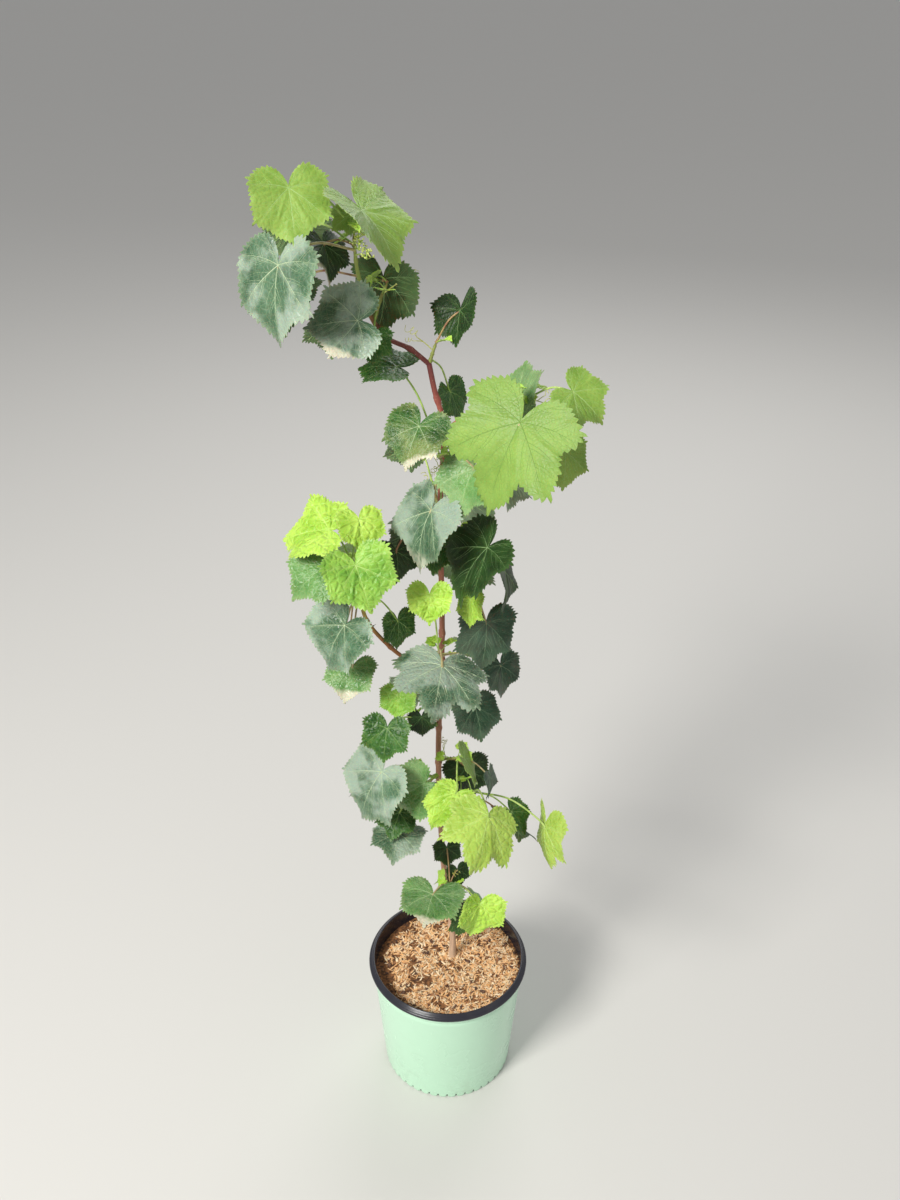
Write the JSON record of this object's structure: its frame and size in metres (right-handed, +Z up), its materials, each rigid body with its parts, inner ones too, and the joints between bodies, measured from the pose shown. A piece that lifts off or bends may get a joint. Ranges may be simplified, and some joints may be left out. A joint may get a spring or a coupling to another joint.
{
  "type": "potted grapevine",
  "caption": "Young climbing vine with broad toothed leaves on one slender stem, growing in a round tapered nursery pot filled with bark mix.",
  "frame": {"origin": "middle of the pot's flat underside", "axes": "+Z up, -Y towards the side that the picture shows, +X to the right of that side"},
  "size_m": [0.3279, 0.2502, 1.1367],
  "materials": {
    "pot": "satin mint-green moulded plastic with a dark rolled rim",
    "potting_mix": "loose shredded bark and coir, matt",
    "bark": "thin fibrous bark, matt",
    "red_shoot": "smooth red-brown young wood, satin",
    "leaf": "living leaf, satin above and felted below"
  },
  "bodies": {
    "root": {"pot": "pot", "soil": "potting_mix", "stem": "bark", "leader": "red_shoot", "left_bough": "red_shoot", "right_bough": "red_shoot", "foliage_crown_left": "leaf", "foliage_crown_low": "leaf", "foliage_crown_right": "leaf", "foliage_upper_right": "leaf", "foliage_upper_front": "leaf", "foliage_upper_side": "leaf", "foliage_upper_back": "leaf", "foliage_left": "leaf", "foliage_middle": "leaf", "foliage_middle_low": "leaf", "foliage_middle_back": "leaf", "foliage_low_left": "leaf", "foliage_low_right": "leaf", "foliage_low_middle": "leaf", "foliage_low_back": "leaf", "foliage_foot": "leaf"}
  },
  "joints": []
}
